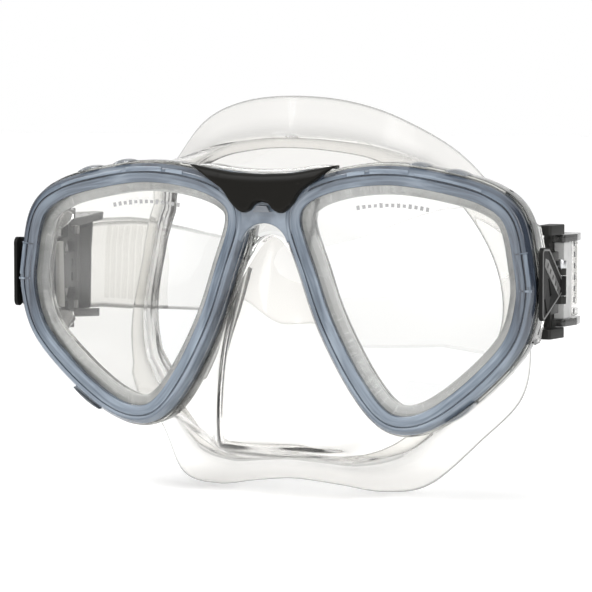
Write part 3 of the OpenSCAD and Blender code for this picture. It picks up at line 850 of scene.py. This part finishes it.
def make_cover():
    """Black cover over the bridge: crowned, with a sloping band along its top."""
    half = smooth_line(COVER_POINTS, 8)
    tip = int(np.argmax(half[:, 0]))
    top, low = half[:tip + 1], half[tip:][::-1]
    x = np.linspace(-1, 1, 81)
    x = np.sign(x) * np.abs(x) ** 0.9 * half[tip, 0]
    top_z = np.interp(np.abs(x), top[:, 0], top[:, 1])
    low_z = np.interp(np.abs(x), low[:, 0], low[:, 1])
    share = 0.5 - 0.5 * np.cos(np.linspace(0, math.pi, 19))
    z = low_z + (top_z - low_z) * share[:, None]
    reach = half[tip, 0] - np.abs(x)
    from_edge = np.minimum(np.minimum(z - low_z, top_z - z), reach * 0.4)
    rise = np.sqrt(np.clip(1 - (1 - np.minimum(from_edge / 1.1, 1)) ** 2, 0, 1))
    slope = np.clip(1 - (top_z - z) / 2.4, 0, 1) * 0.9
    crown = 0.35 * (x / half[tip, 0]) ** 2
    seam = 0.12 * np.exp(-((np.abs(x) - 13.6 - (z - 27) ** 2 * 0.05) / 0.25) ** 2)
    front = -0.9 - rise * (2.5 - crown - slope) + seam
    grid = np.stack([np.broadcast_to(x, z.shape), front, z], -1)
    back = grid.copy()
    back[..., 1] = -0.45
    shape = Shape()
    points, faces = thick_sheet(grid, (np.zeros(3), np.zeros(3)))
    points[len(points) // 2:] = back.reshape(-1, 3)
    shape.add(on_mid_plane(points), faces)
    shape.piece("bridge_cover_shell", BLACK, "frame", ["bridge_cover"], "black_cover", 50)
    top_line = smooth_line([(-23, 31.6), (-18, 31.7), (-10, 30.7), (0, 30.2), (10, 30.7),
                            (18, 31.7), (23, 31.6)], 6)
    bead = rounded([(-0.5, 1.0), (-0.5, 6), (0.6, 6), (0.6, 1.0)], 0.4)
    rim = Shape()
    rim.add(*swept(top_line, bead, on_mid_plane, False))
    rim.piece("clear_brow_rim", CLEAR_FRAME, "frame", ["main_frame"], "clear_frame")


def bump_row(shape, side, start, end, base, height, depth):
    """A rounded bump on the edge of the frame, tapered at both ends."""
    line = resampled(stretch(resampled(OPENING, 1300, closed=True), start, end), 15)
    out = side_of(line, False)
    turn = np.linspace(0, math.pi, 11)
    rows = []
    for k, t in enumerate(np.linspace(0, 1, len(line))):
        tall = height * math.sin(math.pi * min(max(t, 0.02), 0.98)) ** 0.45
        across = np.r_[base, base + tall * np.sin(turn) ** 0.6, base]
        back = depth[0] + (depth[1] - depth[0]) * (0.5 - 0.5 * np.cos(np.r_[0, turn, math.pi]))
        rows.append(np.stack([line[k, 0] + out[k, 0] * across, back,
                              line[k, 1] + out[k, 1] * across], 1))
    rows = np.array(rows)
    n, m = rows.shape[:2]
    shape.add(on_lens_plane(rows.reshape(-1, 3), side), grid_faces(n, m, close_rows=False)
              + [list(range(m)), [(n - 1) * m + k for k in range(m)][::-1]])


def make_clips():
    upper, lower = Shape(), Shape()
    for side in (1, -1):
        bump_row(upper, side, (46.6, 26), (51.8, 25.3), FRAME_W + 0.1, 1.2, (0.4, 8))
        bump_row(upper, side, (57.5, 24.2), (64, 22.5), FRAME_W + 0.1, 1.2, (0.4, 8))
        bump_row(lower, side, (64, -35), (55.5, -41.5), FRAME_W - 0.3, 1.1, (-0.2, 7.6))
    upper.piece("upper_clip_bumps", CLIP_CLEAR, "frame", ["bezel_clips_upper"], "clip_clear")
    lower.piece("lower_clip_tabs", CLIP_CLEAR, "frame", ["bezel_clips_lower"], "clip_clear")


# --- skirt ------------------------------------------------------------------------------

SKIRT_STEPS = 9
WALL_STEPS = 7


def skirt_sections():
    front, outer, inner = (np.array(p, float) for p in
                           (SKIRT_FRONT, SKIRT_OUTER_EDGE, SKIRT_INNER_EDGE))
    rows = []
    for i, share in enumerate(SKIRT_JOIN):
        join = inner[i] * (1 - share) + outer[i] * share
        wall = NOSE_WALL.get(i) or [front[i] * (1 - t) + join * t for t in (0.25, 0.5, 0.75)]
        rows.append([front[i], *wall, join, outer[i], inner[i]])
    half = np.array(rows, float)
    return np.concatenate([half, half[-2:0:-1] * [-1, 1, 1]])


def unit(vectors):
    return vectors / np.linalg.norm(vectors, axis=-1, keepdims=True)


def make_skirt():
    sections = skirt_sections()
    loops = np.array([smooth_loop(sections[:, j], SKIRT_STEPS) for j in range(7)])
    n = loops.shape[1]
    wall = np.array([smooth_line(loops[:5, i], WALL_STEPS) for i in range(n)])
    round_way = np.roll(wall, -1, 0) - np.roll(wall, 1, 0)
    normal = unit(np.cross(round_way, np.gradient(wall, axis=1)))
    inside = wall - normal * WALL_T
    outer, inner = loops[5], loops[6]
    face = unit(np.cross(outer - inner, round_way[:, -1]))
    face *= np.where(face[:, 1:2] > 0, -1, 1)
    spread = (0.12, 0.3, 0.5, 0.7, 0.88, 0.95, 1.0)
    # Painted shade for the skirt: greyer at the fold where the wall meets the flange and along
    # the flange's lip.
    flange_shade = [0.3, 0.1, 0, 0, 0, 0.1, 1]
    fold_shade = [0] * (wall.shape[1] - 2) + [0.25, 0.6]
    tone = fold_shade + flange_shade + [1] + flange_shade[::-1] + [0.6, 0.6] + flange_shade + [1] + flange_shade[::-1] + fold_shade[::-1]
    rings = []
    for i in range(n):
        join_out, join_in = wall[i, -1], inside[i, -1]
        out_way, in_way = outer[i] - join_out, inner[i] - join_in
        ring = list(wall[i])
        for t in spread:
            ring.append(join_out + out_way * t)
        ring.append(outer[i] - face[i] * EDGE_T * 0.5 + unit(out_way) * EDGE_T * 0.4)
        for t in spread[::-1] + (0.0,):
            thick = EDGE_T + (FLANGE_T - EDGE_T) * (1 - t) ** 0.7
            ring.append(join_out + out_way * t - face[i] * thick)
        for t in (0.0,) + spread:
            thick = EDGE_T + (FLANGE_T - EDGE_T) * (1 - t) ** 0.7
            ring.append(join_in + in_way * t - face[i] * thick)
        ring.append(inner[i] - face[i] * EDGE_T * 0.5 + unit(in_way) * EDGE_T * 0.4)
        for t in spread[::-1]:
            ring.append(join_in + in_way * t)
        ring += list(inside[i, ::-1])
        rings.append(ring)
    rings = np.array(rings)
    runs = np.zeros_like(rings)
    runs[:, :, 2] = tone
    shape = Shape()
    shape.add(rings.reshape(-1, 3), grid_faces(n, rings.shape[1]), runs.reshape(-1, 3))
    shape.piece("silicone_skirt", SKIRT_SILICONE, "frame", ["skirt"], "skirt_silicone",
                smooth_angle=60)


# --- strap and small CAD parts ----------------------------------------------------------

def bevelled_copy(node, material, width, body, name=None):
    """A merged copy of a CAD node with rounded edges, which stands for it."""
    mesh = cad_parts[node].data.copy()
    bm = bmesh.new()
    bm.from_mesh(mesh)
    bmesh.ops.remove_doubles(bm, verts=bm.verts, dist=2e-6)
    bmesh.ops.dissolve_limit(bm, angle_limit=math.radians(1), verts=bm.verts, edges=bm.edges)
    bm.to_mesh(mesh)
    bm.free()
    made = finished(mesh, name or node + "_finished", material, body, [node], 0)
    bevel = made.modifiers.new("edges", "BEVEL")
    bevel.width = width * MM
    bevel.segments = 2
    bevel.limit_method = "ANGLE"
    bevel.angle_limit = math.radians(38)
    bevel.harden_normals = False
    return made


def make_buckles():
    for side in ("left", "right"):
        body = side + "_buckle"
        bevelled_copy("buckle_body_" + side, BUCKLE, 0.3, body)
        bevelled_copy("buckle_guard_" + side, CLEAR_GUARD, 0.3, body)
        bevelled_copy("release_lever_" + side, LEVER, 0.3, side + "_lever")
        bevelled_copy("strap_roller_" + side, ROLLER, 0.2, side + "_roller")
        bevelled_copy("pivot_pin_" + side, STEEL, 0.3, "frame")
        bevelled_copy("lever_pin_" + side, STEEL, 0.15, body)
        bevelled_copy("roller_pin_" + side, STEEL, 0.2, body)
        bevelled_copy("lever_spring_" + side, SPRING, 0.1, body)


def lever_place(side):
    return lambda p: np.stack([(LEVER_FACE + p[:, 1]) * side, p[:, 0], p[:, 2]], 1)


def make_lever_trim(side, word):
    """Raised rim and plain band with notches on the face of a release lever; the rim's lighter
    grey is a painted highlight.
    """
    shape = Shape()
    corners = [(3.7, 8), (11, 7.6), (28.5, -5.6), (3.7, -15.4)]
    edge = resampled(rounded(corners, 2), 160, closed=True)
    shape.add(*swept(edge, rounded([(-1.0, -0.2), (-1.0, 0.22), (-0.45, 0.22), (-0.45, -0.2)],
                                   0.1), lever_place(side)))
    band = [(6.8, 4.6), (9.9, 3.9), (22.6, -5.6), (20.6, -7.8), (6.1, 2.2)]
    shape.add(*slab(rounded(band, 0.4), -0.2, 0.16, lever_place(side), 0.08))
    shape.piece("lever_trim_" + word, LEVER_BAND_AND_HIGHLIGHT, word + "_lever", smooth_angle=30)
    line = np.array([((LEVER_FACE + 0.16) * side, y, z) for y, z in
                     zip(np.linspace(9.2, 19.6, 8), np.linspace(2.3, -5.5, 8))])
    block_row("lever_notches_" + word, line, (side, 0, 0), 5, (0.9, 1.5, 0.12), BUCKLE,
              word + "_lever")


def make_buckle_trim(side, word):
    """Pale strip beside the windows, and the teeth along the guard's outer edge."""
    shape = Shape()
    strip = rounded([(22.9, 4.9), (27.2, 4.7), (28.2, -15.4), (23.4, -14.6)], 0.5)
    shape.add(*slab(strip, 80.3, 81.5, side_place(side), 0.2))
    shape.piece("buckle_strip_" + word, STRIP, word + "_buckle")
    line = np.array([(87.6 * side, y, z) for y, z in
                     ((43.2, 7.4), (43.6, 4.6), (43.8, 1), (43.8, -4), (43.6, -9), (43.2, -14))])
    block_row("guard_teeth_" + word, line, (side, 0, 0), 7, (1.7, 0.35, 0.4), RIB_GREY,
              word + "_buckle")


def strap_half_line():
    """Plan of the right half of the strap: tail, turn round the roller, then the back."""
    tail = smooth_line([(72.8, 74.5), (77.8, 66), (81.9, 58)], 12)
    turn = np.array([ROLLER_AXIS + TURN_R * np.array([math.cos(a), math.sin(a)]) for a in
                     np.linspace(STRAP_LEAN, STRAP_LEAN - math.pi, 31)])
    route = smooth_line([(74.9, 56.2), (70.6, 65.4), (61, 81), (46, 94), (26, 103), (0, 106)], 12)
    return tail, turn, route


def make_strap():
    tail, turn, route = strap_half_line()
    half = np.vstack([tail, turn, route])
    line = np.vstack([half, half[-2::-1] * [-1, 1]])
    run = np.r_[0, np.cumsum(np.linalg.norm(np.diff(line, axis=0), axis=1))]
    at = np.unique(np.r_[np.linspace(0, run[-1], 330), run[len(tail):len(tail) + 31]])
    line = np.stack([np.interp(at, run, line[:, k]) for k in (0, 1)], 1)
    out = side_of(line, False)
    x = np.abs(line[:, 0])
    behind = line[:, 1] > 75
    swell = np.clip((52 - x) / 18, 0, 1) * behind
    swell = swell * swell * (3 - 2 * swell)
    tall = STRAP_HALF + (PAD_HALF - STRAP_HALF) * swell
    slot = np.clip((38 - x) / 13, 0, 1) * behind
    slot = 8 * np.sqrt(np.clip(1 - (1 - slot) ** 2, 0, 1))
    edge = [(0.5, 0.5), (0.15, 0.4), (0, 0.15), (0, -0.15), (0.15, -0.4), (0.5, -0.5)]
    steps = (0, 0.2, 0.5, 0.8, 0.95)
    # Painted shade: the strap's rounded edges are greyer.
    tone = [0] * len(steps) + [1] * len(edge) + [0] * len(steps)
    shape = Shape()
    for up in (1, -1):
        rows = []
        for i in range(len(line)):
            ring = [(slot[i] * (1 - t) + (tall[i] - 0.5) * t, 0.5) for t in steps]
            ring += [(tall[i] - inset, thick) for inset, thick in edge]
            ring += [(slot[i] * (1 - t) + (tall[i] - 0.5) * t, -0.5) for t in steps[::-1]]
            rows.append([(line[i, 0] + out[i, 0] * STRAP_T * thick,
                          line[i, 1] + out[i, 1] * STRAP_T * thick, STRAP_MID_Z + up * z)
                         for z, thick in ring])
        rows = np.array(rows)
        n, m = rows.shape[:2]
        faces = [f for f in grid_faces(n, m, close_rows=False)
                 if not (f[0] % m == m - 1 and slot[f[0] // m] == 0
                         and slot[min(f[0] // m + 1, n - 1)] == 0)]
        faces += [list(range(m)), [(n - 1) * m + k for k in range(m)][::-1]]
        # The painted edge shade is full beside the buckles and faint towards the back.
        shade_near_buckle = np.clip((x - 56) / 12, 0.08, 1)
        runs = np.zeros_like(rows)
        runs[:, :, 2] = shade_near_buckle[:, None] * tone
        shape.add(rows.reshape(-1, 3), faces, runs.reshape(-1, 3))
    shape.piece("strap_band", STRAP_SILICONE, "strap", ["strap"], "strap_silicone", 50)
    for side, word in ((1, "right"), (-1, "left")):
        outer = (tail + side_of(tail, False) * (STRAP_T / 2 + 0.2))[2:-6]
        way = side_of(tail, False)[2:-6]
        points = np.array([(p[0] * side, p[1], STRAP_MID_Z) for p in outer])
        facing = np.array([(w[0] * side, w[1], 0) for w in way])
        block_row("strap_ribs_" + word, points, facing, 9, (0.9, 19, 0.8), STRAP_SILICONE,
                  "strap", replaces=["strap"])


def make_small_parts():
    bevelled_copy("bridge_badge", BADGE, 0.25, "frame")


# --- stage ------------------------------------------------------------------------------

def make_floor():
    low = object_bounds()[0].z - FLOOR_GAP
    mesh = bpy.data.meshes.new("floor")
    reach = 6.0
    corners = [(x * reach, y * reach, low) for x, y in ((-1, -1), (1, -1), (1, 1), (-1, 1))]
    mesh.from_pydata(corners, [], [(0, 1, 2, 3)])
    made, tree, shader = start_material("floor_paper")
    fill(tree, shader, {"Base Color": (0.95, 0.95, 0.95, 1), "Roughness": 0.9,
                        "Emission Color": (1, 1, 1, 1), "Emission Strength": FLOOR_GLOW})
    mesh.materials.append(made)
    floor = bpy.data.objects.new("floor", mesh)
    bpy.context.scene.collection.objects.link(floor)


def make_world():
    """White all round for the camera, with darker sides for what the mask reflects."""
    world = bpy.data.worlds.new("studio")
    world.use_nodes = True
    tree = world.node_tree
    where = put(tree, "ShaderNodeTexCoord").outputs["Generated"]
    split = put(tree, "ShaderNodeSeparateXYZ", {0: where})
    across = reckoned(tree, "ABSOLUTE", split.outputs["X"])
    shade = put(tree, "ShaderNodeValToRGB", {"Fac": across})
    for element, place, value in zip(shade.color_ramp.elements, (0.58, 0.82), (1, 0.05)):
        element.position = place
        element.color = (value, value, value, 1)
    path = put(tree, "ShaderNodeLightPath")
    color = between(tree, path.outputs["Is Camera Ray"], shade.outputs["Color"], (1, 1, 1, 1))
    fill(tree, tree.nodes["Background"], {"Color": color, "Strength": 1.0})
    bpy.context.scene.world = world


def area_light(name, place, target, size, power):
    data = bpy.data.lights.new(name, "AREA")
    data.size = size
    data.energy = power
    made = bpy.data.objects.new(name, data)
    made.location = place
    made.rotation_mode = "QUATERNION"
    made.rotation_quaternion = (Vector(target) - Vector(place)).to_track_quat("-Z", "Y")
    bpy.context.scene.collection.objects.link(made)


for side, word in ((1, "right"), (-1, "left")):
    make_lens(side, "lens_" + word)
    make_lens_seal(side, "lens_seal_" + word)
    make_lens_marks(side, word)
    make_lever_trim(side, word)
    make_buckle_trim(side, word)
make_main_frame()
make_limb_ribs()
make_clips()
make_strap()
make_bezel()
make_cover()
make_skirt()
make_buckles()
make_small_parts()
make_floor()
make_world()
area_light("key", (-0.5, -0.7, 0.8), (0, -0.03, 0), 0.6, 9)
area_light("fill", (0.8, -0.6, 0.4), (0, -0.03, 0), 0.5, 4)
bpy.context.scene.view_settings.view_transform = "Standard"
